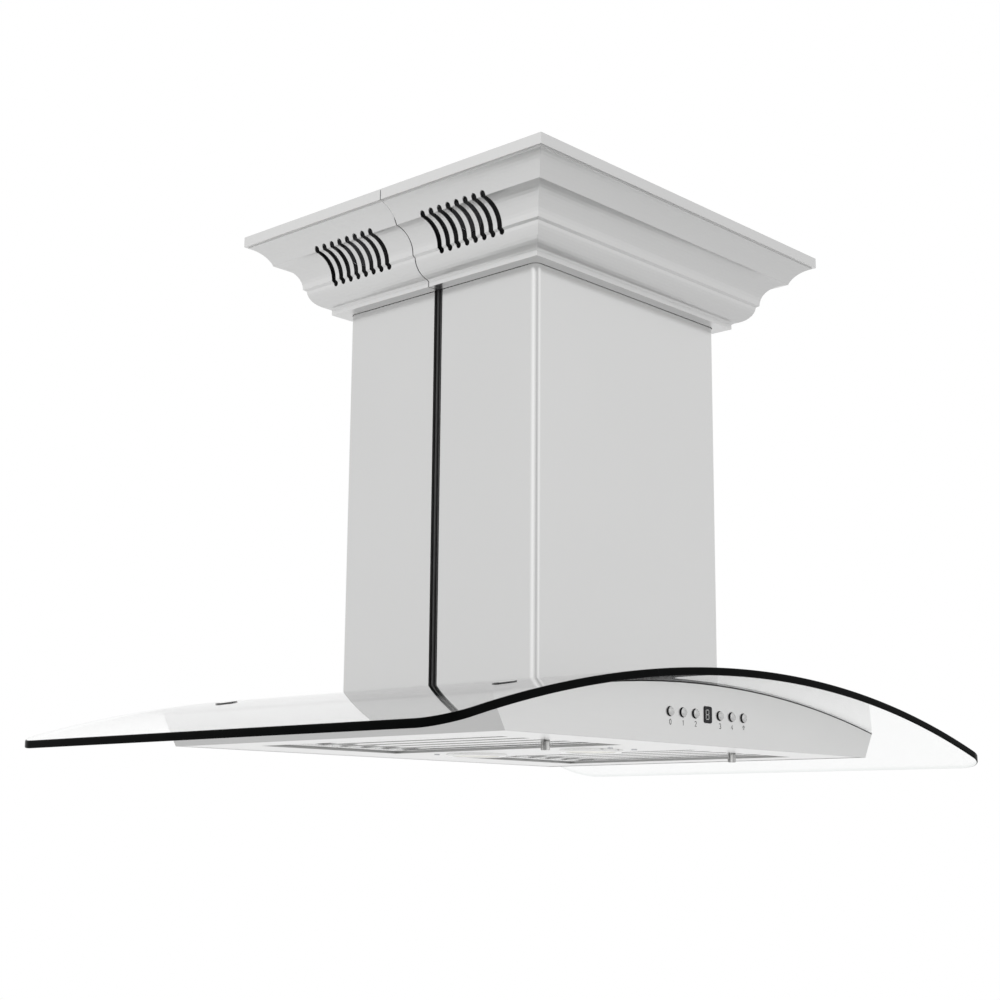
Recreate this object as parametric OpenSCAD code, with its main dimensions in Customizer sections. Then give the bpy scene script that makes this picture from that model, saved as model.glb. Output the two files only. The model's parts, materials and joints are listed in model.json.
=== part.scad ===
// Island range hood: bent glass canopy, boxed chimney and stepped crown moulding.
// Origin: centre of the ceiling plate's top face. +Z is up, +X to the right, -Y to the front.
// Heights in the modules are measured up from the canopy's bottom rim and placed with up().

/* [Overall] */
// Height from the canopy's bottom rim to the ceiling
drop = 575; // [570:1:600]
// Thickness of the folded sheet steel
sheet = 1.2; // [1:0.1:1.5]

/* [Glass] */
// Width of the glass, left to right
glass_w = 900; // [880:5:920]
// Depth of the glass, front to back
glass_d = 614; // [590:1:620]
// Thickness of the glass
glass_t = 7.5; // [6:0.5:8]
// Radius that the top of the glass is bent to
glass_r = 1500; // [1450:2:1550]
// Height of the middle of the glass above the rim
glass_top = 69.4; // [68:0.2:74]
// Corner radius of the glass in plan
glass_corner = 34; // [20:1:60]
// Thickness of the rubber gasket under the glass
gasket_t = 1.5; // [1:0.1:2]
// Distance of the glass screws from the middle, left and right
glass_screw_x = 263; // [255:1:270]
// Distance of the glass screws from the middle, front and back
glass_screw_y = 199; // [190:1:205]

/* [Canopy body] */
// Width of the body at its rim
body_w = 600; // [595:1:610]
// Depth of the body
body_d = 468; // [464:1:480]
// Lean of the side walls from vertical, in degrees
side_lean = 30; // [20:1:35]

/* [Filters] */
// Distance of each filter's middle from the centre line
filter_x = 152; // [150:1:154]
// Width of each filter opening
filter_w = 196; // [190:1:200]
// Front edge of the filter openings
filter_front = -168; // [-172:1:-160]
// Rear edge of the filter openings
filter_rear = 156; // [150:1:165]
// Number of baffle channels in each filter
channels = 6; // [5:1:6]

/* [Lamps] */
// Distance of each lamp from the middle, front and back
lamp_y = 83; // [78:1:90]
// Outer radius of a lamp's bezel
lamp_r = 34; // [30:1:36]

/* [Controls] */
// Distance between the push buttons
button_pitch = 20.7; // [20:0.1:22]
// Height of the push buttons above the rim
button_h = 30.7; // [28:0.1:33]
// Radius of a push button
button_r = 4.5; // [4:0.1:5.2]
// Travel of a push button
button_travel = 1.5; // [1:0.1:1.6]

/* [Chimney] */
// Width of the chimney
chimney_w = 310; // [308:1:316]
// Depth of the chimney
chimney_d = 280; // [278:1:286]
// Outer radius of the chimney's corners
chimney_corner = 7.5; // [5:0.5:9]
// Width of the seam between the chimney halves
seam_w = 12; // [10:0.5:14]

/* [Crown moulding] */
// How far the crown stands out from the chimney at the left and right
crown_out_x = 88.5; // [85:0.5:90]
// How far the crown stands out from the chimney at the front and back
crown_out_y = 83.5; // [82:0.5:90]
// Height of the crown
crown_h = 89; // [88.5:0.5:90]
// Height of the flat band at the crown's top
fascia_h = 11.6; // [11:0.1:12]
// Width of the seam between the crown halves
crown_seam = 1.2; // [0.5:0.1:1.5]
// Number of slots in each speaker group
slots = 8; // [6:1:8]
// Distance between the speaker slots
slot_pitch = 12.2; // [11.5:0.1:12.5]
// Width of a speaker slot
slot_w = 6.4; // [4:0.1:7]

/* [Blower] */
// Width of the blower box
box_w = 216; // [210:1:220]
// Depth of the blower box
box_d = 186; // [180:1:188]
// Height of the blower box's top above the rim
box_top = 322; // [320:1:330]
// Outer radius of the round duct outlet
outlet_r = 75; // [75:0.5:76]
// Number of blades on the blower wheel
blades = 30; // [20:1:36]

/* [Ceiling frame] */
// Distance between the ceiling screws, left to right
ceiling_x = 230; // [225:1:235]
// Distance between the ceiling screws, front to back
ceiling_y = 200; // [195:1:205]

/* [Hidden] */

steel = [0.78, 0.78, 0.77];
dark_steel = [0.55, 0.55, 0.56];
zinc = [0.70, 0.71, 0.73];
black = [0.06, 0.06, 0.06];
gap = 0.3;      // clearance between parts that only lie side by side
layer_gap = 0.1; // gap between bent layers that lie on each other
running = 0.05; // radial clearance of a pin or shaft in its bore
cut = 1;        // how far a cutter runs past the face that it opens
fine = 720;     // $fn of the large bends
smooth = 64;    // $fn of small round parts

glass_under_r = glass_r - glass_t;
body_top_r = glass_under_r - gasket_t;
arch_centre = glass_top - glass_r;
lean = tan(side_lean);
chimney_x = chimney_w / 2;
chimney_y = chimney_d / 2;
inner_x = chimney_x - sheet;
inner_y = chimney_y - sheet;
opening_w = 290; // opening through the glass, inside the chimney
opening_d = 260;
opening_corner = 4;
front_y = -body_d / 2;

function up(h) = h - drop;
function arch_h(r, x) = arch_centre + sqrt(r * r - x * x); // height of a bend at a distance x
function arc(cx, cy, r, a0, a1, n) =
    [for (i = [0:n]) let (a = a0 + (a1 - a0) * i / n) [cx + r * cos(a), cy + r * sin(a)]];

// ---- shared shapes ----

module lift(h) { translate([0, 0, up(h)]) children(); }

module block(w, d, h) { translate([-w / 2, -d / 2, 0]) cube([w, d, h]); }

module rounded_rect(w, d, r) {
    square([w - 2 * r, d], center = true);
    square([w, d - 2 * r], center = true);
    for (x = [-1, 1], y = [-1, 1])
        translate([x * (w / 2 - r), y * (d / 2 - r)]) circle(r = r, $fn = smooth);
}

// Cylinder along Y that carries the glass's bend at the given radius
module arch(r) {
    lift(arch_centre) rotate([90, 0, 0]) cylinder(h = 2 * glass_d, r = r, center = true, $fn = fine);
}

// Curved layer between two bend radii
module arch_layer(r_low, r_high) {
    difference() {
        arch(r_high);
        arch(r_low);
    }
}

module along_x(len, r) { rotate([0, 90, 0]) cylinder(h = len, r = r, center = true, $fn = smooth); }

module along_y(len, r) { rotate([90, 0, 0]) cylinder(h = len, r = r, center = true, $fn = smooth); }

module four_corners(x, y) {
    for (sx = [-1, 1], sy = [-1, 1]) translate([sx * x, sy * y, 0]) children();
}

// ---- glass ----

// Square to the glass, with height 0 on its top face
module glass_screw_places() {
    turn = asin(glass_screw_x / glass_r);
    for (sx = [-1, 1], sy = [-1, 1]) translate([0, sy * glass_screw_y, up(arch_centre)])
        rotate([0, sx * turn, 0]) translate([0, 0, glass_r]) children();
}

module glass_canopy() {
    color([0.85, 0.93, 0.92, 0.35])
        difference() {
            intersection() {
                arch_layer(glass_under_r, glass_r);
                lift(-20) linear_extrude(120) rounded_rect(glass_w, glass_d, glass_corner);
            }
            lift(0) linear_extrude(120) rounded_rect(opening_w, opening_d, opening_corner);
            glass_screw_places() cylinder(h = 4 * glass_t, r = 4, center = true, $fn = smooth);
        }
}

module glass_gasket() {
    ring_w = body_w + 2 * lean * arch_h(body_top_r, body_w / 2) - 1.6;
    color(black)
        intersection() {
            arch_layer(body_top_r + layer_gap, glass_under_r - layer_gap);
            difference() {
                lift(0) block(ring_w, body_d - 0.6, 100);
                lift(-cut) block(ring_w - 24, body_d - 24, 110);
            }
        }
}

cap_bore = 0.9; // how far a glass screw reaches into its cap

module glass_screws() {
    reach = 22; // length of a screw below the glass's top
    color(zinc) glass_screw_places() translate([0, 0, -reach]) {
        cylinder(h = reach + cap_bore, r = 3, $fn = smooth);
        cylinder(h = 5, r = 5.5, $fn = 6);
    }
}

module glass_caps() {
    cap_r = 11.5;
    rim = 0.5;
    color(steel) glass_screw_places() translate([0, 0, layer_gap])
        difference() {
            rotate_extrude($fn = smooth) polygon(concat([[0, 0], [cap_r, 0]],
                arc(cap_r - rim, 0.7, rim, 0, 90, 5), [[0, 1.8]]));
            translate([0, 0, -cut]) cylinder(h = cap_bore + cut, r = 3 + running, $fn = smooth);
        }
}

// ---- canopy body ----

module body_prism(inset, low, high) {
    half = body_w / 2 - inset / cos(side_lean);
    rotate([90, 0, 0]) translate([0, 0, -(body_d / 2 - inset)]) linear_extrude(body_d - 2 * inset)
        polygon([[-half - low * lean, up(low)], [half + low * lean, up(low)],
            [half + high * lean, up(high)], [-half - high * lean, up(high)]]);
}

module canopy_shell() {
    color(steel)
        difference() {
            intersection() {
                body_prism(0, 0, 90);
                arch(body_top_r);
            }
            body_prism(sheet, -10, 100);
            at_panel() control_places() along_y(8, button_r + 0.4);
            at_panel() rotate([90, 0, 0]) linear_extrude(8, center = true)
                rounded_rect(window_w + 2 * gap, window_h + 2 * gap, 2);
        }
}

module canopy_top() {
    color(steel)
        difference() {
            intersection() {
                body_prism(sheet + gap, 0, 90);
                arch_layer(body_top_r - sheet, body_top_r);
            }
            lift(0) block(200, 170, 100);
            glass_screw_places() cylinder(h = 60, r = 3 + running, center = true, $fn = smooth);
            blower_screw_places() lift(0) cylinder(h = 100, r = 2 + running, $fn = smooth);
        }
}

// ---- bottom pan, filters and lamps ----

filter_l = filter_rear - filter_front;
filter_y = (filter_rear + filter_front) / 2;
pan_h = 0.5; // height of the pan's lower face
pan_top = pan_h + sheet;
flange_h = 7;
filter_h = pan_h + 2.5; // height of the filter's lower face
pin_h = filter_h + 2.6; // height of the filter hinge
pin_y = filter_rear - 5;
pin_r = 1.5;
filter_t = 14;

module filter_places() {
    for (side = [-1, 1]) translate([side * filter_x, filter_y, 0]) children();
}

module lamp_places() { for (side = [-1, 1]) translate([0, side * lamp_y, 0]) children(); }

module bottom_pan() {
    wall_gap = 0.2;
    wall_h = 10; // height of the turned-up front and back walls
    clear_w = 6; // room for a filter hinge pin
    rim_half = body_w / 2 + pan_h * lean - (sheet + wall_gap) / cos(side_lean);
    rim_d = body_d - 2 * (sheet + wall_gap);
    color(steel)
        difference() {
            union() {
                lift(pan_h) block(2 * rim_half, rim_d, sheet);
                for (side = [-1, 1]) translate([0, side * (rim_d - sheet) / 2, 0])
                    lift(pan_h) block(2 * rim_half, sheet, wall_h);
                filter_places() lift(pan_h) block(filter_w + 2 * sheet, filter_l + 2 * sheet, flange_h);
            }
            filter_places() lift(-cut) block(filter_w, filter_l, 20);
            filter_places() translate([0, pin_y - filter_y, 0])
                lift(pin_h - 2.5) block(filter_w + 10, clear_w, 12);
            lamp_places() lift(-cut) cylinder(h = 10, r = lamp_r - 5, $fn = smooth);
            pan_screw_places() lift(-cut) cylinder(h = 10, r = 1.6, $fn = smooth);
        }
}

// Two screws beside each lamp
module pan_screw_places() { four_corners(20, lamp_y + 42) children(); }

module pan_screws() {
    head = 1;
    color(zinc) pan_screw_places() lift(pan_h - head) {
        cylinder(h = head, r = 3, $fn = smooth);
        cylinder(h = head + 8, r = 1.55, $fn = smooth);
    }
}

module filter_brackets() {
    x = filter_w / 2 + 4;
    color(zinc)
        for (side = [-1, 1], end = [-1, 1]) translate([side * filter_x + end * x, pin_y, 0])
            difference() {
                union() {
                    lift(pan_top) block(2, 10, 9);
                    translate([end * 3, 0, 0]) lift(pan_top) block(6, 10, 1.2);
                }
                lift(pin_h) along_x(10, pin_r + running);
            }
}

module filter_frame() {
    out_w = filter_w - 2;
    out_l = filter_l - 3.2;
    lip = 4;
    end_lip = 18;
    shift = -0.6;
    color(steel) {
        translate([0, filter_y + shift, 0]) lift(filter_h) difference() {
            block(out_w, out_l, filter_t);
            translate([0, 0, 1]) block(out_w - 2, out_l - 2, filter_t - 2);
            translate([0, 0, -cut]) block(out_w - 2 * lip, out_l - 2 * end_lip, filter_t + 2);
        }
        for (end = [-1, 1]) translate([end * (out_w / 2 + 3), pin_y, 0]) lift(pin_h)
            along_x(6.4, pin_r);
    }
}

module filter_baffles() {
    pitch = (filter_w - 10) / channels;
    strip = pitch - 9.5;
    len = filter_l - 6;
    lip_h = 6;
    drain_y = 113; // middle of the drain slots
    drain_w = 10;
    drain_l = 24;
    color(steel) {
        for (i = [0:channels - 1]) translate([(i - (channels - 1) / 2) * pitch, filter_y - 0.6, 0])
            difference() {
                lift(filter_h + 1) block(strip, len, lip_h);
                lift(filter_h + 2) block(strip - 2, len + 2, lip_h);
                translate([0, drain_y - filter_y, 0]) lift(0) block(drain_w, drain_l, 2 * filter_t);
            }
        for (i = [0:channels - 2]) translate([(i - (channels - 2) / 2) * pitch, filter_y - 0.6, 0])
            lift(filter_h + filter_t - 1 - lip_h) difference() {
                block(strip, len, lip_h);
                translate([0, 0, -1]) block(strip - 2, len + 2, lip_h);
            }
    }
}

// Round pull on the front strip of the filter, a little outside its middle
module filter_knob(side) {
    r = 4.4;
    h = 11.8;
    chamfer = 0.6;
    color(zinc) translate([side * (filter_x + 3), filter_front + 14, 0]) lift(filter_h - h)
        rotate_extrude($fn = smooth) polygon([[0, 0], [r - chamfer, 0], [r, chamfer], [r, h], [0, h]]);
}

module left_filter_frame() { translate([-filter_x, 0, 0]) filter_frame(); }
module right_filter_frame() { translate([filter_x, 0, 0]) filter_frame(); }
module left_filter_baffles() { translate([-filter_x, 0, 0]) filter_baffles(); }
module right_filter_baffles() { translate([filter_x, 0, 0]) filter_baffles(); }
module left_filter_knob() { filter_knob(-1); }
module right_filter_knob() { filter_knob(1); }

module lamp_bezels() {
    inner = lamp_r - 7;
    sleeve = lamp_r - 5.4;
    color(steel) lamp_places() lift(pan_h - 3) rotate_extrude($fn = 96)
        polygon([[inner, 0.6], [inner + 1, 0], [lamp_r - 2, 0], [lamp_r, 1.6], [lamp_r, 3], [sleeve, 3],
            [sleeve, 9], [inner, 9]]);
}

module lamp_lenses() {
    inner = lamp_r - 7.1;
    color([0.98, 0.95, 0.82]) lamp_places() lift(pan_h - 2)
        cylinder(h = 2.5, r = inner, $fn = 96);
}

module lamp_cans() {
    r = lamp_r - 7.1;
    color(dark_steel) lamp_places() lift(pan_h + 0.6) difference() {
        cylinder(h = 26, r = r, $fn = 96);
        for (i = [0:5]) translate([0, 0, 9 + 3 * i]) difference() {
            cylinder(h = 1.5, r = r + cut, $fn = 96);
            translate([0, 0, -cut]) cylinder(h = 4, r = r - 6, $fn = 96);
        }
    }
}

module lamp_driver() {
    color([0.9, 0.9, 0.88]) lift(pan_top) difference() {
        block(40, 60, 22);
        for (end = [-1, 1]) translate([0, end * 27, 16]) block(24, 8, 10);
    }
}

// ---- controls ----

window_w = 13;
window_h = 16;

module at_panel() { translate([0, front_y, up(button_h)]) children(); }

function control_x(i) = (i < 3 ? i - 3 : i - 2) * button_pitch;

module control_places() { for (i = [0:5]) translate([control_x(i), 0, 0]) children(); }

// Stepped button along -Y: a domed cap in front of the panel and a stem behind it
module push_button(i) {
    stand = 2.6;
    rear = 3.2;
    stem_r = 3;
    stem_end = 12;
    dome = 1.1;
    color(steel) at_panel() translate([control_x(i), 0, 0]) rotate([90, 0, 0]) rotate_extrude($fn = smooth)
        polygon(concat([[0, -stem_end], [stem_r, -stem_end], [stem_r, -rear], [button_r, -rear]],
            [for (k = [0:8]) [button_r * cos(k * 90 / 8), stand - dome + dome * sin(k * 90 / 8)]]));
}

module button_0() { push_button(0); }
module button_1() { push_button(1); }
module button_2() { push_button(2); }
module button_3() { push_button(3); }
module button_4() { push_button(4); }
module button_light() { push_button(5); }

module display_window() {
    color(black) at_panel() translate([0, 2.6, 0]) rotate([90, 0, 0]) linear_extrude(3.2)
        rounded_rect(window_w, window_h, 1.8);
}

guide_y = 5.2; // distance of the guide plate behind the panel's front face
guide_t = 4;

module button_guide() {
    color([0.9, 0.9, 0.9]) at_panel() difference() {
        union() {
            translate([0, guide_y + guide_t / 2, 0]) cube([150, guide_t, 30], center = true);
            for (end = [-1, 1]) translate([end * 71, (guide_y + sheet) / 2, 0])
                cube([6, guide_y - sheet, 24], center = true);
        }
        control_places() along_y(40, 3 + running);
        translate([0, guide_y, 0]) cube([window_w + 3, 20, window_h + 3], center = true);
    }
}

board_y = 19;

module control_board() {
    color([0.1, 0.35, 0.2]) at_panel() translate([0, board_y + 0.8, 0]) cube([150, 1.6, 30], center = true);
}

module button_switches() {
    front = 12 + button_travel + 0.2;
    body = board_y - 4;
    color(black) at_panel() {
        control_places() {
            translate([0, body + 2, 0]) cube([6, 4, 6], center = true);
            translate([0, (front + body) / 2, 0]) along_y(body - front, 1.7);
        }
        translate([0, 10.8, 0]) cube([window_w - 1, 16.4, window_h - 1], center = true);
    }
}

module board_standoffs() {
    start = guide_y + guide_t;
    color(zinc) at_panel() for (x = [-1, 1], z = [-1, 1])
        translate([x * 71, (start + board_y) / 2, z * 11]) along_y(board_y - start, 2.5);
}

// ---- blower ----

flange_w = 10;
flange_t = 1.5;
wheel_r = 66;
wheel_w = 100;
axis_h = 176;
shaft_r = 4;
divider_h = 284;
collar_top = 373;

module blower_screw_places() {
    for (x = [-40, 40], side = [-1, 1]) translate([x, side * (box_d / 2 + 5), 0]) children();
}

module blower_box() {
    color(zinc) {
        difference() {
            union() {
                lift(0) block(box_w, box_d, box_top);
                intersection() {
                    arch_layer(body_top_r + layer_gap, body_top_r + flange_t);
                    lift(0) block(box_w + 2 * flange_w, box_d + 2 * flange_w, 100);
                }
            }
            arch(body_top_r + layer_gap);
            lift(0) block(box_w - 2 * sheet, box_d - 2 * sheet, box_top - sheet);
            lift(box_top - 5) cylinder(h = 10, r = outlet_r - sheet, $fn = 96);
            blower_screw_places() lift(0) cylinder(h = 100, r = 2 + running, $fn = smooth);
        }
    }
}

module blower_screws() {
    color(zinc) blower_screw_places() lift(arch_h(body_top_r + flange_t, 40 - 3)) {
        cylinder(h = 2.4, r = 3.6, $fn = smooth);
        translate([0, 0, -10]) cylinder(h = 11, r = 2, $fn = smooth);
    }
}

// Spiral wall of the scroll in the YZ plane, widening towards the outlet
function spiral(grow) = [for (a = [-180:10:90]) let (r = 72 + grow + 16 * (a + 180) / 270)
    [r * cos(a), r * sin(a)]];

module scroll_solid(grow, w, top) {
    rotate([90, 0, 90]) linear_extrude(w, center = true)
        polygon(concat([[-(72 + grow), top]], spiral(grow)));
    rotate([90, 0, 90]) linear_extrude(w, center = true)
        polygon([[-(72 + grow), 0], [0, 0], [0, top], [-(72 + grow), top]]);
}

module blower_scroll() {
    wall = 1.5;
    rise = divider_h - axis_h;
    color([0.25, 0.25, 0.27]) lift(axis_h) {
        difference() {
            scroll_solid(wall, wheel_w + 14, rise);
            scroll_solid(0, wheel_w + 14 - 2 * wall, rise + 2);
            along_x(wheel_w + 40, 54);
        }
        difference() {
            translate([0, 0, rise]) block(box_w - 2 * sheet - 2 * gap, box_d - 2 * sheet - 2 * gap, wall);
            translate([0, -36, rise - cut]) block(wheel_w + 8, 68, 5);
        }
    }
}

module blower_wheel() {
    blade_in = wheel_r - 12;
    color([0.3, 0.3, 0.32]) lift(axis_h) difference() {
        union() {
            for (i = [0:blades - 1]) rotate([i * 360 / blades, 0, 0])
                translate([0, 0, (wheel_r + blade_in) / 2 - 0.5]) rotate([25, 0, 0])
                    cube([wheel_w - 2, 1, 11], center = true);
            for (x = [-1, 1]) translate([x * (wheel_w / 2 - 1.5), 0, 0]) difference() {
                along_x(3, wheel_r);
                along_x(6, blade_in);
            }
            along_x(2, wheel_r - 1);
            translate([-6, 0, 0]) along_x(14, 11);
        }
        along_x(40, shaft_r + running);
    }
}

module motor_shaft() { color(steel) lift(axis_h) translate([30, 0, 0]) along_x(86, shaft_r); }

module motor_body() {
    color([0.15, 0.15, 0.16]) lift(axis_h) translate([41, 0, 0]) difference() {
        union() {
            along_x(58, 42);
            along_x(66, 16);
        }
        along_x(80, shaft_r + running);
        for (i = [0:11]) rotate([i * 30, 0, 0]) translate([0, 0, 42]) cube([44, 5, 4], center = true);
    }
}

module motor_bracket() {
    plate_x = wheel_w / 2 + 7;
    color(zinc) lift(axis_h) {
        translate([plate_x + 14.2, 0, 0]) difference() {
            along_x(2, 40);
            along_x(4, 16.2);
        }
        for (i = [0:2]) rotate([i * 120 + 30, 0, 0]) {
            translate([plate_x + 14.2, 0, 48]) cube([2, 14, 24], center = true);
            translate([plate_x + 7.6, 0, 59]) cube([15.2, 14, 2], center = true);
        }
    }
}

module outlet_collar() {
    color(zinc) difference() {
        union() {
            lift(box_top) cylinder(h = 1.5, r = outlet_r + 12, $fn = 96);
            lift(box_top) cylinder(h = collar_top - box_top, r = outlet_r, $fn = 96);
        }
        lift(box_top - cut) cylinder(h = collar_top, r = outlet_r - sheet, $fn = 96);
        lift(flap_h) along_x(4 * outlet_r, 1.5);
    }
}

flap_h = 350;
flap_r = 71.5;

module damper_rod() { color(steel) lift(flap_h) along_x(2 * outlet_r - 0.4, 1.5); }

// Half disc with two knuckles round the rod; side is -1 at the front and 1 at the rear
module damper_flap(side, knuckles) {
    color(dark_steel) lift(flap_h) difference() {
        union() {
            intersection() {
                cylinder(h = 1, r = flap_r, center = true, $fn = 96);
                translate([0, side * (flap_r / 2 + 3), 0]) cube([2 * flap_r, flap_r, 4], center = true);
            }
            for (x = knuckles) translate([x, 0, 0]) {
                along_x(14, 2.8);
                translate([0, side * 3, 0]) cube([14, 4, 1], center = true);
            }
        }
        along_x(200, 1.5 + running);
    }
}

module front_damper_flap() { damper_flap(-1, [-50, 34]); }
module rear_damper_flap() { damper_flap(1, [-34, 50]); }

module capacitor() {
    color([0.85, 0.85, 0.82]) translate([40, -(box_d / 2 + 16), 0]) lift(150) {
        cylinder(h = 60, r = 14, $fn = smooth);
        translate([0, 14, 30]) cube([20, 4, 20], center = true);
    }
}

box_side = -(box_w / 2 + 15); // middle of the terminal box
cable_y = 20;                 // distance of the cable from the middle, towards the rear
terminal_h = 200;

module terminal_box() {
    color(zinc) translate([box_side, 0, 0]) lift(terminal_h) difference() {
        block(30, 80, 60);
        translate([-1, 0, 1.2]) block(30, 77.6, 57.6);
        translate([0, cable_y, 50]) cylinder(h = 20, r = 8 + running, $fn = smooth);
    }
}

module terminal_box_cover() {
    color(zinc) translate([box_side - 15.8, 0, 0]) lift(terminal_h) block(1.2, 80, 60);
}

module cable_gland() {
    color(black) translate([box_side, cable_y, 0]) lift(terminal_h + 52) difference() {
        union() {
            cylinder(h = 24, r = 8, $fn = smooth);
            translate([0, 0, 8]) cylinder(h = 6, r = 12, $fn = 6);
            translate([0, 0, 2.8]) cylinder(h = 4, r = 11, $fn = 6);
        }
        translate([0, 0, -cut]) cylinder(h = 40, r = 4.5, $fn = smooth);
    }
}

// ---- chimney ----

chimney_top = 569;

// Square tube with rounded corners, resting on the glass
module chimney_tube() {
    difference() {
        lift(0) linear_extrude(chimney_top) rounded_rect(chimney_w, chimney_d, chimney_corner);
        lift(-cut) linear_extrude(drop) rounded_rect(2 * inner_x, 2 * inner_y, chimney_corner - sheet);
        arch(glass_r + 0.1);
    }
}

// One half of the tube with return flanges along the seam; side is -1 at the front
module chimney_half(side) {
    flange = 10;
    color(steel) difference() {
        union() {
            chimney_tube();
            for (x = [-1, 1]) translate([x * (inner_x - flange / 2 + 0.2), side * (seam_w + sheet) / 2, 0])
                lift(0) block(flange, sheet, chimney_top);
        }
        arch(glass_r + 0.1);
        translate([0, -side * (chimney_d - seam_w) / 2, 0]) lift(-cut) block(400, chimney_d, drop);
    }
}

module chimney_front() { chimney_half(-1); }
module chimney_rear() { chimney_half(1); }

// Black strip with two ribs that fills the seam
module seam_strip(side) {
    rib = 1.6;
    w = seam_w - 2 * 0.1;
    color(black) difference() {
        translate([side * chimney_x, 0, up(0)]) linear_extrude(chimney_top)
            polygon([[-side * 9, -w / 2], [-side * 0.8, -w / 2], [-side * 0.8, -w / 2 + rib],
                [-side * 2.6, -w / 2 + rib], [-side * 2.6, -rib / 2], [-side * 1.4, -rib / 2],
                [-side * 1.4, rib / 2], [-side * 2.6, rib / 2], [-side * 2.6, w / 2 - rib],
                [-side * 0.8, w / 2 - rib], [-side * 0.8, w / 2], [-side * 9, w / 2]]);
        arch(glass_r + 0.1);
    }
}

module left_seam_strip() { seam_strip(-1); }
module right_seam_strip() { seam_strip(1); }

// ---- crown moulding ----

crown_base = drop - crown_h;
lip_out = 14.5;
profile_out = 85.5; // reach of the profile before it is stretched

// Half profile [distance out from the chimney, height], bottom to top: lip, ovolo, lower cove,
// upper cove and fascia. With t above 0 it is the sheet's inner face, and its coves end sooner.
function crown_line(t) = concat(
    [[lip_out - t, crown_base], [lip_out - t, crown_base + 5.5]],
    arc(13, crown_base + 29, 22 - t, -80, -5, 8),
    [[38 - t, crown_base + 29]],
    arc(64.4, crown_base + 29.6, 26.4 + t, 177, 94 + 2.4 * t, 10),
    arc(94.6, crown_base + 43.5, 34.9 + t, 159 - 0.8 * t, 111 + 1.6 * t, 8),
    [[82 - t, drop - fascia_h + t], [profile_out - t, drop - fascia_h + t]]);

// The same run placed against the chimney, stretched so that its edge stands out by the given amount
function crown_run(line, face, out) =
    concat([for (p = line) [face + p[0] * out / profile_out, p[1]]],
        [for (i = [len(line) - 1:-1:0]) [-face - line[i][0] * out / profile_out, line[i][1]]]);

// Solid under the profile, its four sides mitred by crossing two straight runs
module crown_solid(t, low, high) {
    line = crown_line(t);
    n = len(line) - 1;
    half = concat([[line[0][0], low]], [for (p = line) if (p[1] > low) p], [[line[n][0], high]]);
    intersection() {
        rotate([90, 0, 0]) translate([0, up(0), -400]) linear_extrude(800)
            polygon(crown_run(half, chimney_x, crown_out_x));
        rotate([90, 0, 90]) translate([0, up(0), -400]) linear_extrude(800)
            polygon(crown_run(half, chimney_y, crown_out_y));
    }
}

slot_mid_y = 82.4;
slot_low = crown_base + 23;
slot_high = crown_base + 61.5;

module slot_cutters() {
    straight = slot_high - slot_low - slot_w; // length between a slot's round ends
    for (group = [-1, 1], i = [0:slots - 1])
        translate([0, group * slot_mid_y + (i - (slots - 1) / 2) * slot_pitch, 0]) {
            lift((slot_low + slot_high) / 2) cube([600, slot_w, straight], center = true);
            for (h = [slot_low + slot_w / 2, slot_high - slot_w / 2]) lift(h) along_x(600, slot_w / 2);
        }
}

module crown_half(side) {
    return_w = 14;
    color(steel) difference() {
        crown_solid(0, crown_base, drop);
        crown_solid(sheet, crown_base + sheet, drop - sheet);
        lift(crown_base - cut) linear_extrude(crown_h + 2)
            rounded_rect(chimney_w + 2, chimney_d + 2, chimney_corner + 1);
        lift(drop - sheet - cut) block(2 * (chimney_x + crown_out_x - return_w),
            2 * (chimney_y + crown_out_y - return_w), 3 * cut);
        slot_cutters();
        translate([0, -side * (300 - crown_seam / 2), 0])
            lift(crown_base - cut) block(700, 600, crown_h + 5);
    }
}

module crown_front() { crown_half(-1); }
module crown_rear() { crown_half(1); }

// Flat strips that join the crown halves behind the flat band
module crown_joiners() {
    strip_t = 1.5;
    strip_h = fascia_h - 2 * (sheet + layer_gap);
    x = chimney_x + crown_out_x - sheet - 2 * layer_gap - strip_t / 2;
    color(zinc) for (side = [-1, 1]) translate([side * x, 0, 0])
        lift(drop - sheet - layer_gap - strip_h) block(strip_t, 50, strip_h);
}

// ---- speakers ----

// Frame for one speaker: its front faces down and outwards at 45 degrees behind the slots
module speaker_places() {
    for (sx = [0, 1], y = [-1, 1]) mirror([sx, 0, 0])
        translate([chimney_x + 44, y * slot_mid_y, up(crown_base + 50.4)]) rotate([0, 135, 0]) children();
}

module speaker_plates() {
    apron = 18; // how much further the plate reaches on its lower side
    color(black) speaker_places() translate([0, 0, -0.8]) difference() {
        translate([apron / 2, 0, 0]) cube([46 + apron, 158, 1.6], center = true);
        cylinder(h = 4, r = 18, center = true, $fn = smooth);
    }
}

module speaker_frames() {
    color(dark_steel) speaker_places() translate([0, 0, -1.6]) rotate([180, 0, 0]) difference() {
        union() {
            cylinder(h = 2, r = 22, $fn = smooth);
            cylinder(h = 12, r1 = 20, r2 = 13, $fn = smooth);
            cylinder(h = 22, r = 13, $fn = smooth);
        }
        translate([0, 0, -cut]) cylinder(h = 10, r1 = 19.6, r2 = 13, $fn = smooth);
    }
}

module speaker_cones() {
    color([0.2, 0.2, 0.22]) speaker_places() translate([0, 0, -2]) rotate([180, 0, 0])
        rotate_extrude($fn = smooth) polygon([[0, 4.4], [4, 4.4], [16.5, 0.4], [17.5, 0], [17.5, 0.8],
            [16.5, 1.2], [6, 5.6], [0, 5.6]]);
}

module amplifier() {
    color(black) translate([122, 0, 0]) lift(430) difference() {
        block(26, 120, 90);
        for (z = [10:8:74]) translate([-13, 0, z]) block(3, 100, 3);
    }
}

// ---- ceiling frame ----

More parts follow.
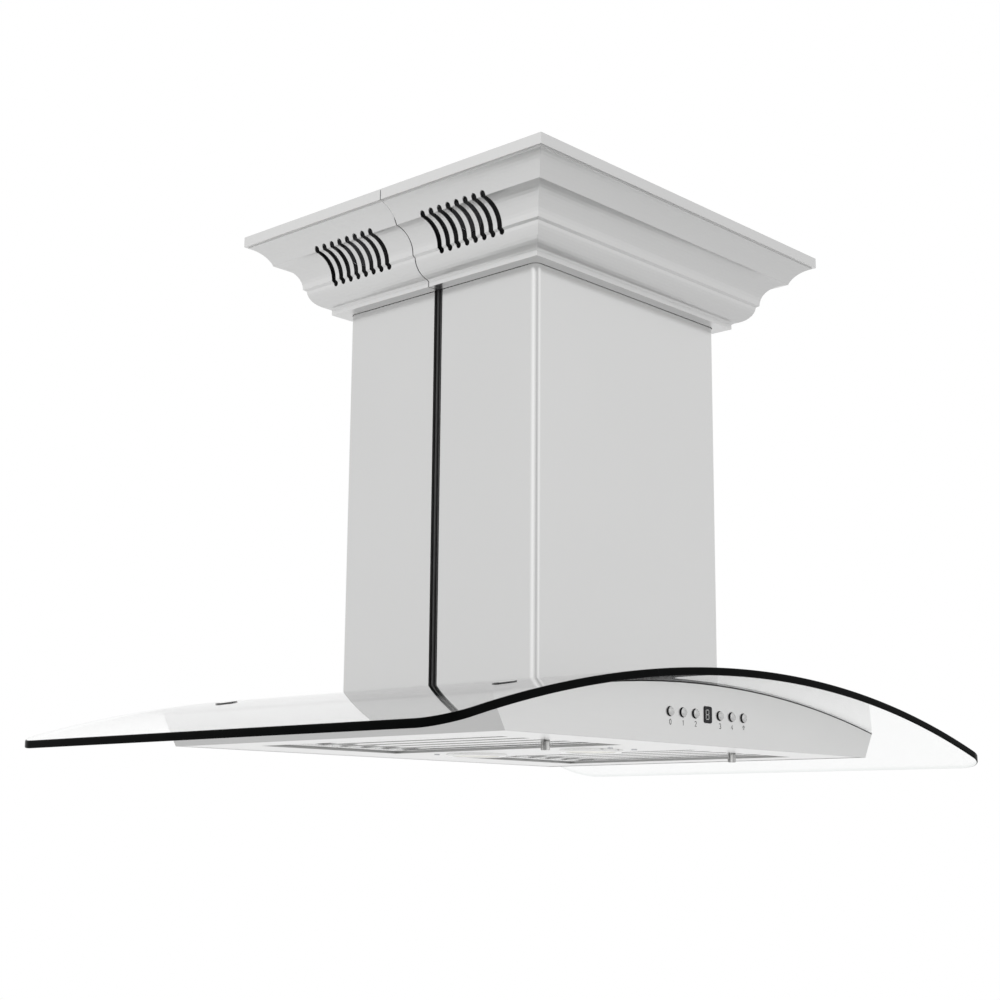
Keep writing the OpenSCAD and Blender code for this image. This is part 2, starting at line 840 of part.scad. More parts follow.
post_x = 143; // outer faces of the corner posts
post_y = 128;
post_w = 20;
post_t = 2;
duct_hole_r = 85;
cable_hole_r = 10;
lower_top = 400;
upper_low = 280;

module ceiling_plate() {
    color(zinc) translate([0, 0, -2]) difference() {
        block(2 * post_x, 2 * post_y, 2);
        translate([0, 0, -cut]) cylinder(h = 5, r = duct_hole_r, $fn = 96);
        translate([box_side, cable_y, -cut]) cylinder(h = 5, r = cable_hole_r, $fn = smooth);
        four_corners(ceiling_x / 2, ceiling_y / 2) translate([0, 0, -cut]) {
            block(12, 8, 5);
            for (end = [-1, 1]) translate([end * 6, 0, 0]) cylinder(h = 5, r = 4, $fn = smooth);
        }
    }
}

// Steel angle in each corner, its outer faces inset by the given amount
module corner_angles(inset, low, high) {
    for (sx = [0, 1], sy = [0, 1]) mirror([sx, 0, 0]) mirror([0, sy, 0])
        translate([post_x - inset, post_y - inset, up(low)]) linear_extrude(high - low)
            polygon([[0, 0], [0, -post_w], [-post_t, -post_w], [-post_t, -post_t],
                [-post_w, -post_t], [-post_w, 0]]);
}

module post_bolt_places() {
    for (sx = [0, 1], sy = [0, 1], h = [310, 370]) mirror([sx, 0, 0]) mirror([0, sy, 0])
        translate([post_x, post_y - 12, up(h)]) children();
}

module frame_posts() {
    color(zinc) difference() {
        union() {
            difference() {
                corner_angles(0, 0, lower_top);
                arch(body_top_r);
            }
            corner_angles(post_t + 0.05, upper_low, drop - 2);
        }
        post_bolt_places() along_x(16, 3 + running);
    }
}

module frame_bolts() {
    color(steel) post_bolt_places() {
        translate([-3, 0, 0]) along_x(12, 3);
        translate([1.75, 0, 0]) rotate([0, 90, 0]) cylinder(h = 3.5, r = 5.5, center = true, $fn = 6);
        translate([-6.2, 0, 0]) rotate([0, 90, 0]) cylinder(h = 4, r = 5.5, center = true, $fn = 6);
    }
}

// Z-shaped clips between the posts and the chimney walls
module chimney_clips() {
    space = inner_x - post_x;
    color(zinc) for (sx = [0, 1], sy = [0, 1], h = [120, 440]) mirror([sx, 0, 0]) mirror([0, sy, 0])
        translate([post_x, post_y - 18, up(h)]) linear_extrude(20)
            polygon([[0.05, 0], [0.05, 12], [1.55, 12], [1.55, 1.5], [space - 0.05, 1.5],
                [space - 0.05, -9], [space - 1.55, -9], [space - 1.55, 0]]);
}

glass_canopy();
glass_gasket();
glass_screws();
glass_caps();
canopy_shell();
canopy_top();
bottom_pan();
pan_screws();
filter_brackets();
left_filter_frame();
left_filter_baffles();
left_filter_knob();
right_filter_frame();
right_filter_baffles();
right_filter_knob();
lamp_bezels();
lamp_lenses();
lamp_cans();
lamp_driver();
button_0();
button_1();
button_2();
button_3();
button_4();
button_light();
display_window();
button_guide();
control_board();
button_switches();
board_standoffs();
blower_box();
blower_screws();
blower_scroll();
blower_wheel();
motor_shaft();
motor_body();
motor_bracket();
outlet_collar();
damper_rod();
front_damper_flap();
rear_damper_flap();
capacitor();
terminal_box();
terminal_box_cover();
cable_gland();
chimney_front();
chimney_rear();
left_seam_strip();
right_seam_strip();
chimney_clips();
crown_front();
crown_rear();
crown_joiners();
speaker_plates();
speaker_frames();
speaker_cones();
amplifier();
ceiling_plate();
frame_posts();
frame_bolts();
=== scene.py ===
import json
import math

import bmesh
import bpy
from mathutils import Matrix, Vector


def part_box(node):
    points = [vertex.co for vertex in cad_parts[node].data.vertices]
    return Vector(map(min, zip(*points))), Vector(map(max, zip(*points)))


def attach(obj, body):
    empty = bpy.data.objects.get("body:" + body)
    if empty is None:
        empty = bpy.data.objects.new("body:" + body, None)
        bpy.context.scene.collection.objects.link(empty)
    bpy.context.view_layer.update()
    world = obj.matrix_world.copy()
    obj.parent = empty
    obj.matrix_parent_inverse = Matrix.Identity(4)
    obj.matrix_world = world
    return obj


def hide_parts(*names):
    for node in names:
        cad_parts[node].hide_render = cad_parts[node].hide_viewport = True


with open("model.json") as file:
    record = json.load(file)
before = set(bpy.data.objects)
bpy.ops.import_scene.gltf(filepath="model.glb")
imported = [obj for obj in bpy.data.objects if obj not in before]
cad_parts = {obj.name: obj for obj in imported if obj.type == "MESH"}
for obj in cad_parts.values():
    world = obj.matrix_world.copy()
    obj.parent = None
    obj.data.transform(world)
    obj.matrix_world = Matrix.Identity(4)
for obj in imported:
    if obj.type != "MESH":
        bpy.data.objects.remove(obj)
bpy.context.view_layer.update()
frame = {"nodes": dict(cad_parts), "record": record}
NODES = frame["nodes"]
SLOT_OF = {part["node"]: part["material_slot"] for part in frame["record"]["subparts"]}
MM = 0.001


# ---- shader helpers ----

class Finish:
    """A Principled material with the few procedural nodes that every finish here is made of."""

    def __init__(self, name, colour, roughness, metallic=0.0):
        self.material = bpy.data.materials.new(name)
        self.material.use_nodes = True
        self.tree = self.material.node_tree
        self.tree.nodes.clear()
        self.output = self.tree.nodes.new("ShaderNodeOutputMaterial")
        self.shader = self.tree.nodes.new("ShaderNodeBsdfPrincipled")
        self.link(self.shader.outputs["BSDF"], self.output.inputs["Surface"])
        self.colour = colour
        self.set("Base Color", (*colour, 1))
        self.set("Roughness", roughness)
        self.set("Metallic", metallic)
        self.place = self.tree.nodes.new("ShaderNodeTexCoord").outputs["Object"]

    def link(self, source, socket):
        self.tree.links.new(source, socket)

    def set(self, name, value):
        self.shader.inputs[name].default_value = value
        return self

    def noise(self, scale, stretch=(1, 1, 1), detail=3.0, rough=0.5):
        """Noise over the object, its scale in features per metre along each axis."""
        mapping = self.tree.nodes.new("ShaderNodeMapping")
        self.link(self.place, mapping.inputs["Vector"])
        mapping.inputs["Scale"].default_value = [scale * s for s in stretch]
        node = self.tree.nodes.new("ShaderNodeTexNoise")
        self.link(mapping.outputs["Vector"], node.inputs["Vector"])
        node.inputs["Scale"].default_value = 1.0
        node.inputs["Detail"].default_value = detail
        node.inputs["Roughness"].default_value = rough
        return node.outputs["Fac"]

    def spread(self, value, low, high, start=0.3, end=0.7):
        node = self.tree.nodes.new("ShaderNodeMapRange")
        self.link(value, node.inputs["Value"])
        node.inputs["From Min"].default_value, node.inputs["From Max"].default_value = start, end
        node.inputs["To Min"].default_value, node.inputs["To Max"].default_value = low, high
        return node.outputs["Result"]

    def mix(self, factor, a, b):
        node = self.tree.nodes.new("ShaderNodeMix")
        node.data_type = "RGBA"
        self.link(factor, node.inputs["Factor"])
        for value, socket in ((a, node.inputs["A"]), (b, node.inputs["B"])):
            if isinstance(value, tuple):
                socket.default_value = (*value, 1)
            else:
                self.link(value, socket)
        return node.outputs["Result"]

    def blend_values(self, factor, a, b):
        node = self.tree.nodes.new("ShaderNodeMix")
        self.link(factor, node.inputs["Factor"])
        self.link(a, node.inputs["A"])
        self.link(b, node.inputs["B"])
        return node.outputs["Result"]

    def tint(self, value, amount):
        """Lets a value lighten and darken the base colour by a share of it."""
        dark = tuple(c * (1 - amount) for c in self.colour)
        light = tuple(min(c * (1 + amount), 1) for c in self.colour)
        self.link(self.mix(self.spread(value, 0, 1), dark, light), self.shader.inputs["Base Color"])
        return self

    def shine(self, value, low, high):
        self.link(self.spread(value, low, high), self.shader.inputs["Roughness"])
        return self

    def bump(self, value, depth, strength=1.0, edge=0.0):
        """Surface relief, and with edge above 0 shading that rounds sharp edges to that radius."""
        node = self.tree.nodes.new("ShaderNodeBump")
        if edge:
            rounding = self.tree.nodes.new("ShaderNodeBevel")
            rounding.samples = 8
            rounding.inputs["Radius"].default_value = edge
            self.link(rounding.outputs["Normal"], node.inputs["Normal"])
        node.inputs["Strength"].default_value = strength
        node.inputs["Distance"].default_value = depth
        self.link(value, node.inputs["Height"])
        self.link(node.outputs["Normal"], self.shader.inputs["Normal"])
        return self


ALONG_X, ALONG_Y, ALONG_Z = (0.02, 1, 1), (1, 0.02, 1), (1, 1, 0.02)
GRAIN_SCALE = 900.0     # brushed lines per metre, across the grain


def brushed(name, colour, roughness, grain, depth=0.0015 * MM, cross=None, edge=0.7 * MM):
    """Brushed sheet steel. With cross, faces that look along X take that grain, the others the first."""
    steel = Finish(name, colour, roughness, metallic=1.0)
    lines = steel.noise(GRAIN_SCALE, grain, detail=4, rough=0.6)
    if cross:
        split = steel.tree.nodes.new("ShaderNodeSeparateXYZ")
        coords = steel.tree.nodes.new("ShaderNodeTexCoord")
        steel.link(coords.outputs["Normal"], split.inputs["Vector"])
        side = steel.tree.nodes.new("ShaderNodeMath")
        side.operation = "ABSOLUTE"
        steel.link(split.outputs["X"], side.inputs[0])
        other = steel.tree.nodes.new("ShaderNodeMath")
        other.operation = "ABSOLUTE"
        steel.link(split.outputs["Y"], other.inputs[0])
        more = steel.tree.nodes.new("ShaderNodeMath")
        more.operation = "GREATER_THAN"
        steel.link(side.outputs[0], more.inputs[0])
        steel.link(other.outputs[0], more.inputs[1])
        crossed = steel.noise(GRAIN_SCALE, cross, detail=4, rough=0.6)
        lines = steel.blend_values(more.outputs[0], lines, crossed)
    clouds = steel.noise(5.0, detail=2)
    steel.tint(steel.blend_values(clouds, lines, clouds), 0.012)
    steel.shine(lines, roughness - 0.02, roughness + 0.03)
    steel.bump(lines, depth, edge=edge)
    return steel


def moulded(name, colour, roughness, grain=1200.0, depth=0.02 * MM):
    """Plastic, rubber or paint with a fine even texture."""
    finish = Finish(name, colour, roughness)
    speck = finish.noise(grain, detail=2)
    finish.tint(finish.noise(30.0, detail=3), 0.08)
    finish.shine(speck, roughness - 0.06, roughness + 0.08)
    finish.bump(speck, depth)
    return finish


def plated(name, colour, roughness):
    """Zinc plated sheet: soft spangles and a slightly uneven gloss."""
    zinc = Finish(name, colour, roughness, metallic=1.0)
    cells = zinc.tree.nodes.new("ShaderNodeTexVoronoi")
    zinc.link(zinc.place, cells.inputs["Vector"])
    cells.inputs["Scale"].default_value = 110.0
    spangle = cells.outputs["Distance"]
    zinc.tint(spangle, 0.07)
    zinc.shine(zinc.noise(60.0, detail=3), roughness - 0.07, roughness + 0.1)
    zinc.bump(spangle, 0.01 * MM, 0.4)
    return zinc


STEEL = (0.62, 0.62, 0.618)
BRIGHT = (0.85, 0.85, 0.845)

finishes = {
    "chimney": brushed("chimney_steel", STEEL, 0.24, ALONG_Z),
    "crown": brushed("crown_steel", (0.67, 0.67, 0.667), 0.3, ALONG_Y, edge=0.3 * MM),
    # darker copy of the crown steel: painted shade on the faces that look along Y
    "crown_painted_shade_face": brushed("crown_painted_shade_steel", (0.58, 0.58, 0.578), 0.3, ALONG_X, edge=0.3 * MM),
    "shell": brushed("shell_steel", (0.65, 0.65, 0.647), 0.3, ALONG_X, cross=ALONG_Y),
    # darker copy of the shell steel: painted shade on the end faces
    "shell_painted_shade_side": brushed("shell_painted_shade_steel", (0.54, 0.54, 0.538), 0.3, ALONG_Y),
    "pan": brushed("pan_steel", BRIGHT, 0.3, ALONG_X),
    "filter": brushed("filter_steel", BRIGHT, 0.27, ALONG_Y, depth=0.006 * MM),
    # darker copy of the filter steel: painted shade for recess walls and the gaps between baffles
    "inside": brushed("filter_inside", (0.42, 0.42, 0.416), 0.5, ALONG_Y, depth=0.006 * MM),
    "polished": Finish("polished_steel", (0.8, 0.8, 0.79), 0.08, metallic=1.0),
    "zinc": plated("zinc_plate", (0.56, 0.57, 0.59), 0.42),
    "rubber": moulded("black_rubber", (0.012, 0.012, 0.012), 0.55),
    "black": moulded("black_plastic", (0.02, 0.02, 0.021), 0.45),
    "white": moulded("white_plastic", (0.72, 0.72, 0.69), 0.4),
    "paint": moulded("motor_paint", (0.03, 0.03, 0.032), 0.35, grain=500.0, depth=0.05 * MM),
    "cast": plated("cast_aluminium", (0.5, 0.5, 0.51), 0.5),
    "board": moulded("circuit_board", (0.02, 0.12, 0.05), 0.35),
    "paper": moulded("speaker_paper", (0.045, 0.045, 0.05), 0.7, grain=700.0, depth=0.08 * MM),
    "lens": moulded("lamp_diffuser", (0.9, 0.885, 0.82), 0.35, grain=900.0, depth=0.05 * MM),
    "display": moulded("display_plastic", (0.01, 0.01, 0.012), 0.12, grain=200.0, depth=0.004 * MM),
    "stripe": moulded("grey_rubber", (0.085, 0.085, 0.086), 0.5),
    # near-black for the buttons' black sides, which also paints the shade of the gap round each button, and
    # painted shade in the drain slots
    "collar": moulded("button_side_black_and_painted_shade", (0.006, 0.006, 0.006), 0.3, grain=600.0, depth=0.004 * MM),
    "print": moulded("dark_print", (0.035, 0.035, 0.035), 0.5),
    "digit": moulded("display_segments", (0.5, 0.51, 0.5), 0.4),
}
finishes["cap"] = Finish("button_cap", (0.5, 0.5, 0.498), 0.12, metallic=1.0)
finishes["cap"].tint(finishes["cap"].noise(90.0), 0.04)
finishes["cap"].shine(finishes["cap"].noise(700.0, detail=4), 0.1, 0.18)
for name in ("display", "rubber", "stripe", "black", "collar"):
    finishes[name].set("Specular IOR Level", 0.15)
# Dark polished steel with vertical streaks painted into its colour: painted reflections on the round knob.
finishes["knob"] = Finish("knob_steel_painted_streaks", (0.46, 0.46, 0.455), 0.12, metallic=1.0)
finishes["knob"].tint(finishes["knob"].noise(420.0, ALONG_Z, detail=1), 0.45)
finishes["knob"].shine(finishes["knob"].noise(900.0, ALONG_Z), 0.1, 0.2)
finishes["rim"] = Finish("cap_rim", (0.09, 0.09, 0.09), 0.25, metallic=1.0)
finishes["rim"].tint(finishes["rim"].noise(60.0), 0.05)
finishes["rim"].shine(finishes["rim"].noise(700.0, detail=4), 0.2, 0.3)
polish = finishes["polished"]
polish.tint(polish.noise(40.0), 0.03)
polish.shine(polish.noise(300.0, detail=4), 0.06, 0.14)


def glass_finish():
    """Clear tempered glass. Shadow rays pass, so that lamps light what lies under it."""
    glass = Finish("clear_glass", (0.995, 1.0, 0.998), 0.0)
    glass.set("Transmission Weight", 1.0).set("IOR", 1.5)
    glass.shine(glass.noise(9.0, detail=2), 0.0, 0.012)
    path = glass.tree.nodes.new("ShaderNodeLightPath")
    clear = glass.tree.nodes.new("ShaderNodeBsdfTransparent")
    clear.inputs["Color"].default_value = (0.92, 0.94, 0.93, 1)
    choose = glass.tree.nodes.new("ShaderNodeMixShader")
    glass.link(path.outputs["Is Shadow Ray"], choose.inputs["Fac"])
    glass.link(glass.shader.outputs["BSDF"], choose.inputs[1])
    glass.link(clear.outputs["BSDF"], choose.inputs[2])
    glass.link(choose.outputs["Shader"], glass.output.inputs["Surface"])
    return glass


finishes["glass"] = glass_finish()


def edge_finish():
    """Polished edge painted nearly black from outside, painted shade for the dark look of the clear edge;
    clear from within.
    """
    edge = Finish("glass_edge_painted_dark", (0.0012, 0.0015, 0.0015), 0.2)
    edge.set("Specular IOR Level", 0.02)
    edge.tint(edge.noise(60.0, detail=3), 0.4)
    edge.shine(edge.noise(400.0), 0.1, 0.2)
    side = edge.tree.nodes.new("ShaderNodeNewGeometry")
    clear = edge.tree.nodes.new("ShaderNodeBsdfTransparent")
    clear.inputs["Color"].default_value = (0.88, 0.9, 0.89, 1)
    choose = edge.tree.nodes.new("ShaderNodeMixShader")
    edge.link(side.outputs["Backfacing"], choose.inputs["Fac"])
    edge.link(edge.shader.outputs["BSDF"], choose.inputs[1])
    edge.link(clear.outputs["BSDF"], choose.inputs[2])
    edge.link(choose.outputs["Shader"], edge.output.inputs["Surface"])
    return edge


finishes["edge"] = edge_finish()

FINISH_OF_SLOT = {
    "black_rubber": "rubber", "filter_steel": "filter", "polished_steel": "polished",
    "zinc_plate": "zinc", "lamp_diffuser": "lens", "cast_aluminium": "cast",
    "white_plastic": "white", "display_plastic": "display", "circuit_board": "board",
    "black_plastic": "black", "motor_paint": "paint", "speaker_paper": "paper",
    "brushed_steel": "shell", "clear_glass": "glass",
}
FINISH_OF_NODE = {
    "chimney_front": "chimney", "chimney_rear": "chimney", "crown_front": "crown",
    "crown_rear": "crown", "bottom_pan": "pan", "left_filter_knob": "knob", "right_filter_knob": "knob",
}


def dress(obj, *names):
    if obj.data.materials:
        obj.data.materials.clear()      # this also sets every face back to the first finish
    for name in names:
        obj.data.materials.append(finishes[name].material)


def smooth(mesh, angle=math.radians(32)):
    for polygon in mesh.polygons:
        polygon.use_smooth = True
    mesh.set_sharp_from_angle(angle=angle)


def round_edges(obj, width):
    """Welds the faces of an imported node and rounds its sharp edges."""
    weld = obj.modifiers.new("weld", "WELD")
    weld.merge_threshold = 1e-6
    bevel = obj.modifiers.new("bevel", "BEVEL")
    bevel.limit_method = "ANGLE"
    bevel.angle_limit = math.radians(40)
    bevel.width = width
    bevel.segments = 2
    bevel.use_clamp_overlap = True
    bevel.harden_normals = True


def keep_borders_sharp(mesh):
    """Marks the edges between two finishes as sharp, so that neither shading bends into the other."""
    finish_of_edge = {}
    border = set()
    for polygon in mesh.polygons:
        for key in polygon.edge_keys:
            if finish_of_edge.setdefault(key, polygon.material_index) != polygon.material_index:
                border.add(key)
    for edge in mesh.edges:
        if edge.key in border:
            edge.use_edge_sharp = True


def dress_faces(node, first, second, is_second):
    """Gives a node two finishes, the second on the faces for which is_second(middle, normal) is true."""
    dress(node, first, second)
    turn = node.matrix_world.to_3x3()
    for polygon in node.data.polygons:
        middle = node.matrix_world @ polygon.center
        polygon.material_index = 1 if is_second(middle, turn @ polygon.normal) else 0


EDGE_WIDTHS = {
    "speaker_plates": 0.3, "terminal_box": 0.3, "terminal_box_cover": 0.3, "control_board": 0.2,
}

for name, node in NODES.items():
    dress(node, FINISH_OF_NODE.get(name) or FINISH_OF_SLOT[SLOT_OF[name]])
    smooth(node.data)
    if name in EDGE_WIDTHS:
        round_edges(node, EDGE_WIDTHS[name] * MM)

PANEL_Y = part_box("canopy_shell")[0][1]
BUTTONS = ["button_0", "button_1", "button_2", "button_3", "button_4", "button_light"]
DOME = 1.1 * MM             # height of a button's domed end
HAIR = 0.05 * MM
CAP_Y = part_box("button_0")[0][1] + DOME
dress_faces(NODES["glass_caps"], "polished", "rim", lambda middle, normal: abs(normal.z) < 0.3)
frame_low, frame_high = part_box("right_filter_frame")
OPENING_EDGE = 3 * MM       # how far a filter opening's walls stand off the filter


def in_opening(middle, normal):
    """True for the upright walls round the two filter openings of the pan."""
    return (abs(normal.z) < 0.5
            and frame_low[0] - OPENING_EDGE < abs(middle.x) < frame_high[0] + OPENING_EDGE
            and frame_low[1] - OPENING_EDGE < middle.y < frame_high[1] + OPENING_EDGE)


# The upright walls round the filter openings take painted shade.
dress_faces(NODES["bottom_pan"], "pan", "inside", in_opening)
# The shell's end faces, which look along X, take the darker copy of the steel: painted shade.
dress_faces(NODES["canopy_shell"], "shell", "shell_painted_shade_side", lambda middle, normal: abs(normal.x) > 0.5)
# Crown faces that look along Y take the darker copy of the steel, painted shade, with the grain along X.
for name in ("crown_front", "crown_rear"):
    dress_faces(NODES[name], "crown", "crown_painted_shade_face",
                lambda middle, normal: abs(normal.y) > abs(normal.x))
# Each button's side behind the dome is near-black: partly a black ring the button has, partly painted shade
# of the gap round it.
for name in BUTTONS:
    dress_faces(NODES[name], "cap", "collar", lambda middle, normal: middle.y > CAP_Y + HAIR)
DRAIN_Y, DRAIN_HALF = 113 * MM, 12.5 * MM


def paint_shade_in_slots(node):
    """Paints shade on the cut edges of the drain slots, in near-black."""
    node.data.materials.append(finishes["collar"].material)
    turn = node.matrix_world.to_3x3()
    for polygon in node.data.polygons:
        away = abs((node.matrix_world @ polygon.center).y - DRAIN_Y)
        if away < DRAIN_HALF and abs((turn @ polygon.normal).z) < 0.5:
            polygon.material_index = 2


baffle_low, baffle_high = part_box("left_filter_baffles")
BAFFLE_WALL = 1 * MM
BAFFLE_SPLIT = (baffle_low[2] + baffle_high[2]) / 2 - BAFFLE_WALL
# Baffle walls and upper faces take painted shade, so the gaps between the baffles read dark.
for name in ("left_filter_baffles", "right_filter_baffles"):
    dress_faces(NODES[name], "filter", "inside",
                lambda middle, normal: normal.z > -0.5 or middle.z > BAFFLE_SPLIT)
    paint_shade_in_slots(NODES[name])
STRIP_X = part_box("right_seam_strip")[1][0]
GROOVE = (1.2 * MM, 2.2 * MM)       # how deep the grooves of a seam strip lie


def in_groove(middle, normal):
    return GROOVE[0] < STRIP_X - abs(middle.x) < GROOVE[1] and abs(normal.x) > 0.9


for name in ("left_seam_strip", "right_seam_strip"):
    dress_faces(NODES[name], "rubber", "stripe", in_groove)


def piece(name, bm, finish_names, body="hood", angle=math.radians(32)):
    mesh = bpy.data.meshes.new(name)
    bmesh.ops.recalc_face_normals(bm, faces=bm.faces)
    bm.to_mesh(mesh)
    bm.free()
    obj = bpy.data.objects.new(name, mesh)
    bpy.context.scene.collection.objects.link(obj)
    dress(obj, *finish_names)
    smooth(mesh, angle)
    keep_borders_sharp(mesh)
    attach(obj, body)
    return obj


# ---- bent glass ----

GLASS_LOW, GLASS_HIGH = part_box("glass_canopy")
GLASS_HALF_X, GLASS_HALF_Y = GLASS_HIGH[0], GLASS_HIGH[1]
GLASS_T = 7.5 * MM
GLASS_R = 1500 * MM
CORNER_R = 34 * MM
PENCIL = 1.3 * MM      # radius of the polished edge
OPENING = (145 * MM, 130 * MM, 4 * MM)
SCREW_X, SCREW_Y, SCREW_HOLE_R = 263 * MM, 199 * MM, 4 * MM
GLASS_TOP = GLASS_HIGH[2]
GLASS_STRIPS = 150     # flat strips that make up the bend


def rounded_loop(half_x, half_y, radius, steps):
    points = []
    for quarter, (sx, sy) in enumerate(((1, 1), (-1, 1), (-1, -1), (1, -1))):
        for i in range(steps + 1):
            a = math.radians(90 * (quarter + i / steps))
            points.append((sx * (half_x - radius) + radius * math.cos(a),
                           sy * (half_y - radius) + radius * math.sin(a)))
    return points


def loop_edges(bm, points, z):
    verts = [bm.verts.new((x, y, z)) for x, y in points]
    return verts, [bm.edges.new((verts[i], verts[(i + 1) % len(verts)])) for i in range(len(verts))]


def wall(bm, upper, lower, material=0):
    for i in range(len(upper)):
        j = (i + 1) % len(upper)
        face = bm.faces.new((upper[i], upper[j], lower[j], lower[i]))
        face.material_index = material


def bend(x, radius):
    """Height of a bend at a distance x from the middle, the glass's top being zero."""
    return math.sqrt(radius * radius - x * x) - GLASS_R


def glass_sheet():
    bm = bmesh.new()
    rings = []
    steps = 5
    for i in range(steps + 1):
        a = math.radians(90 * i / steps)
        rings.append((PENCIL * (1 - math.sin(a)), -PENCIL * (1 - math.cos(a))))
    rings += [(inset, -GLASS_T - z) for inset, z in reversed(rings)]
    loops = []
    for inset, z in rings:
        points = rounded_loop(GLASS_HALF_X - inset, GLASS_HALF_Y - inset, CORNER_R - inset, 16)
        loops.append(loop_edges(bm, points, z))
    for (upper, _), (lower, _) in zip(loops, loops[1:]):
        wall(bm, upper, lower, 1)
    opening = rounded_loop(*OPENING, 4)
    holes = [(opening, opening)]
    lean = SCREW_X * (1 - GLASS_T / GLASS_R)
    for sx in (-1, 1):
        for sy in (-1, 1):
            holes.append([[(sx * x + SCREW_HOLE_R * math.cos(k * math.pi / 12),
                            sy * SCREW_Y + SCREW_HOLE_R * math.sin(k * math.pi / 12)) for k in range(24)]
                          for x in (SCREW_X, lean)])
    tops, bottoms = list(loops[0][1]), list(loops[-1][1])
    for above, below in holes:
        upper, upper_edges = loop_edges(bm, above, 0)
        lower, lower_edges = loop_edges(bm, below, -GLASS_T)
        wall(bm, upper, lower, 1)
        tops += upper_edges
        bottoms += lower_edges
    for edges in (tops, bottoms):
        bmesh.ops.triangle_fill(bm, use_beauty=True, use_dissolve=False, edges=edges)
    for i in range(1, GLASS_STRIPS):
        x = -GLASS_HALF_X + 2 * GLASS_HALF_X * i / GLASS_STRIPS
        bmesh.ops.bisect_plane(bm, geom=bm.verts[:] + bm.edges[:] + bm.faces[:], dist=1e-6,
                               plane_co=(x, 0, 0), plane_no=(1, 0, 0))
    for vert in bm.verts:
        depth = -vert.co.z
        vert.co.z = GLASS_TOP + bend(vert.co.x, GLASS_R - depth)
    # The edge faces take the finish painted nearly black: painted shade.
    sheet = piece("bent_glass", bm, ("glass", "edge"), angle=math.radians(50))
    follow_bend(sheet.data)
    return sheet


def follow_bend(mesh):
    """Points the shading normals of the two broad faces straight at or away from the bend's axis."""
    axis_z = GLASS_TOP - GLASS_R
    normals = [corner.vector.copy() for corner in mesh.corner_normals]
    for polygon in mesh.polygons:
        if polygon.material_index == 0:
            for corner in polygon.loop_indices:
                place = mesh.vertices[mesh.loops[corner].vertex_index].co
                outwards = Vector((place.x, 0, place.z - axis_z))
                above = outwards.length > GLASS_R - GLASS_T / 2
                normals[corner] = outwards.normalized() * (1 if above else -1)
    mesh.normals_split_custom_set(normals)


glass = glass_sheet()
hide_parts("glass_canopy")


# ---- printed digits and display segments ----

def ribbon(bm, points, width, y, closed=False):
    """Flat stroke in the panel's plane through points (x, z), with round joints made of small mitres."""
    count = len(points)
    left, right = [], []
    for i, (x, z) in enumerate(points):
        before = points[(i - 1) % count] if closed or i else points[i]
        after = points[(i + 1) % count] if closed or i < count - 1 else points[i]
        dx, dz = after[0] - before[0], after[1] - before[1]
        size = math.hypot(dx, dz) or 1.0
        nx, nz = -dz / size * width / 2, dx / size * width / 2
        left.append(bm.verts.new((x + nx, y, z + nz)))
        right.append(bm.verts.new((x - nx, y, z - nz)))
    for i in range(count if closed else count - 1):
        j = (i + 1) % count
        bm.faces.new((left[i], left[j], right[j], right[i]))


def curve(cx, cz, rx, rz, start, end, steps=14):
    """Points of an ellipse between two angles in degrees."""
    return [(cx + rx * math.cos(math.radians(start + (end - start) * i / steps)),
             cz + rz * math.sin(math.radians(start + (end - start) * i / steps))) for i in range(steps + 1)]


def glyph(symbol):
    """Strokes of a digit or of the lamp sign in a cell 1 high and about 0.6 wide, centred on zero."""
    if symbol == "0":
        return [curve(0, 0, 0.28, 0.5, 90, 450, 28)]
    if symbol == "1":
        return [[(-0.16, 0.3), (0.06, 0.5), (0.06, -0.5)]]
    if symbol == "2":
        return [curve(0, 0.22, 0.27, 0.28, 165, -35) + [(-0.27, -0.5), (0.3, -0.5)]]
    if symbol == "3":
        return [curve(0, 0.25, 0.24, 0.25, 150, -90), curve(0, -0.25, 0.28, 0.25, 90, -150)]
    if symbol == "4":
        return [[(0.12, -0.5), (0.12, 0.5), (-0.3, -0.2), (0.32, -0.2)]]
    rays = [[(0.3 * math.cos(a), 0.18 + 0.3 * math.sin(a)), (0.42 * math.cos(a), 0.18 + 0.42 * math.sin(a))]
            for a in (math.radians(d) for d in (0, 45, 90, 135, 180))]
    bulb = curve(0, 0.18, 0.2, 0.2, -60, 240)
    socket = [(-0.1, -0.05), (-0.1, -0.3), (0.1, -0.3), (0.1, -0.05)]
    return [bulb, socket] + rays


LABEL_H = 5.0 * MM
LABEL_DROP = 10.2 * MM      # from a button's middle down to its label
STROKE = 0.85 * MM
PRINT_LIFT = 0.03 * MM
FIGURE_SHIFT = 1.2 * MM     # the display's figure sits a little left of the window's middle


def labels():
    bm = bmesh.new()
    for name, symbol in zip(BUTTONS, ("0", "1", "2", "3", "4", "lamp")):
        button_low, button_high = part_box(name)
        x = (button_low[0] + button_high[0]) / 2
        z = (button_low[2] + button_high[2]) / 2 - LABEL_DROP
        for line in glyph(symbol):
            width = STROKE if symbol != "lamp" else 0.8 * STROKE
            points = [(x + px * LABEL_H, z + pz * LABEL_H) for px, pz in line]
            ribbon(bm, points, width, PANEL_Y - PRINT_LIFT)
    return piece("button_labels", bm, ("print",))


